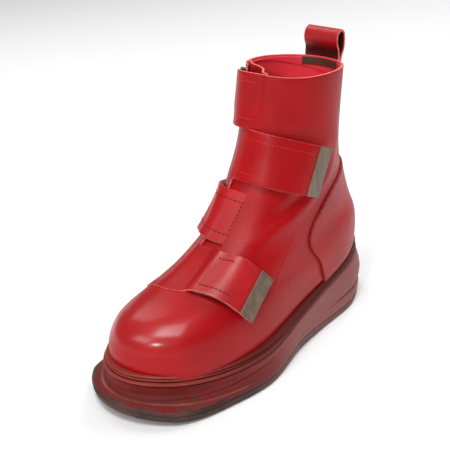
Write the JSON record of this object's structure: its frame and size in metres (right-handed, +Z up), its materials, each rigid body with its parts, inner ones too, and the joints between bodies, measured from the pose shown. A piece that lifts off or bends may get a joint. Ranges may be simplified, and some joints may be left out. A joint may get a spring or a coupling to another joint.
{
  "type": "hook-and-loop boot",
  "caption": "Left leather ankle boot with a round toe, wide interlaced hook-and-loop straps with metal ends, a pull loop and a wedge sole.",
  "frame": {"origin": "middle of the bounding box in plan, on the ground plane under the tread", "axes": "toe to -Y, outer (lateral) side of the left foot to +X, +Z up"},
  "size_m": [0.1129, 0.2758, 0.2295],
  "materials": {
    "red_leather": "smooth, semi-gloss",
    "red_lining": "matt",
    "burgundy_rubber": "satin, worn",
    "brown_welt": "satin",
    "dark_rubber": "matt",
    "grey_metal": "dark pewter",
    "tan_hook_tape": "hook and loop pile"
  },
  "bodies": {
    "root": {"outsole": "dark_rubber", "midsole": "burgundy_rubber", "welt": "brown_welt", "insole": "red_lining", "upper": "red_leather", "tongue": "red_leather", "heel_counter": "red_leather", "pull_loop": "red_leather", "strap_1_collar": "red_leather", "strap_2_ankle": "red_leather", "strap_3_instep": "red_leather", "strap_4_vamp": "red_leather", "strap_tip_1": "grey_metal", "fastener_1": "tan_hook_tape", "strap_tip_2": "grey_metal", "fastener_2": "tan_hook_tape", "strap_tip_3": "grey_metal", "fastener_3": "tan_hook_tape", "strap_tip_4": "grey_metal", "fastener_4": "tan_hook_tape"}
  },
  "joints": []
}
